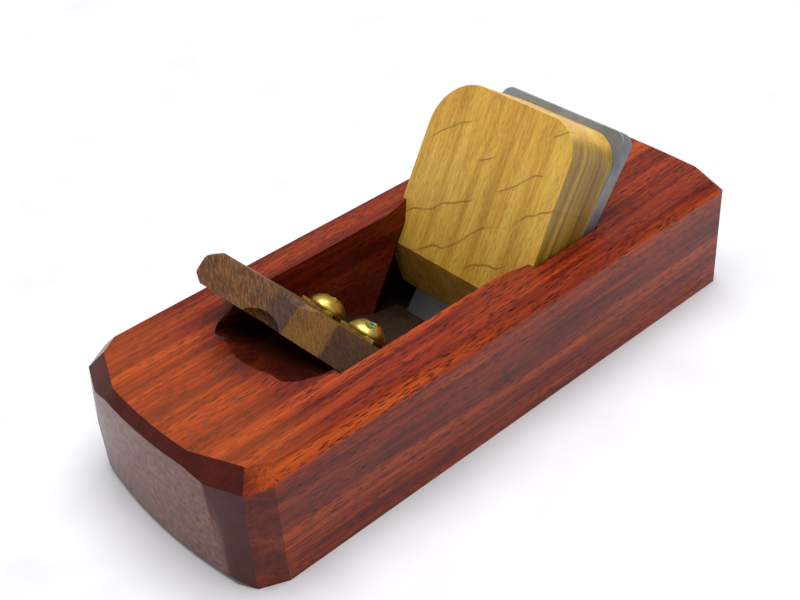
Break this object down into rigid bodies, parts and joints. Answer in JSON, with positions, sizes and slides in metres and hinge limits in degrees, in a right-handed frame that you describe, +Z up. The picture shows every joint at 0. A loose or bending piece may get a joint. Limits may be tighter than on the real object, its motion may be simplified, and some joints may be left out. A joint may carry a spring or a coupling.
{
  "type": "wooden smoothing plane",
  "caption": "Low wooden smoothing plane with a wedged steel iron, side abutments and an adjustable mouth block held on the front ramp by domed brass screws.",
  "frame": {"origin": "middle of the sole, at the bottom of the body", "axes": "+X towards the toe, the way the plane is pushed; +Y to the user's left; +Z up from the sole"},
  "size_m": [0.176, 0.07, 0.0662],
  "materials": {
    "red_hardwood": "glossy clear varnish over streaky red-orange hardwood",
    "iron_steel": "ground and honed satin steel",
    "golden_hardwood": "smooth oiled golden-brown hardwood",
    "brown_hardwood": "oiled dark brown hardwood with a paler streak",
    "plate_brass": "plain brass",
    "screw_brass": "polished domed brass heads"
  },
  "bodies": {
    "stock": {"body": "red_hardwood", "insert_far": "plate_brass", "insert_near": "plate_brass"},
    "blade": {"iron": "iron_steel"},
    "key_wedge": {"wedge": "golden_hardwood"},
    "mouth": {"mouth_block": "brown_hardwood", "plate_far": "plate_brass", "plate_near": "plate_brass"},
    "far_screw": {"screw_far": "screw_brass"},
    "near_screw": {"screw_near": "screw_brass"}
  },
  "joints": [
    {"name": "iron_slide", "type": "slide", "parent": "stock", "child": "blade", "axis": [-0.6018, 0, 0.7986], "range_m": [0, 0.046]},
    {"name": "wedge_slide", "type": "slide", "parent": "stock", "child": "key_wedge", "axis": [-0.6018, 0, 0.7986], "range_m": [0, 0.038]},
    {"name": "mouth_slide", "type": "slide", "parent": "stock", "child": "mouth", "axis": [0.6374, 0, 0.7705], "range_m": [0, 0.002]},
    {"name": "screw_far_turn", "type": "hinge", "parent": "stock", "child": "far_screw", "pos_m": [0.02592, -0.009, 0.0265], "axis": [-0.7705, 0, 0.6374], "continuous": true},
    {"name": "screw_near_turn", "type": "hinge", "parent": "stock", "child": "near_screw", "pos_m": [0.02592, 0.0066, 0.0265], "axis": [-0.7705, 0, 0.6374], "continuous": true}
  ]
}
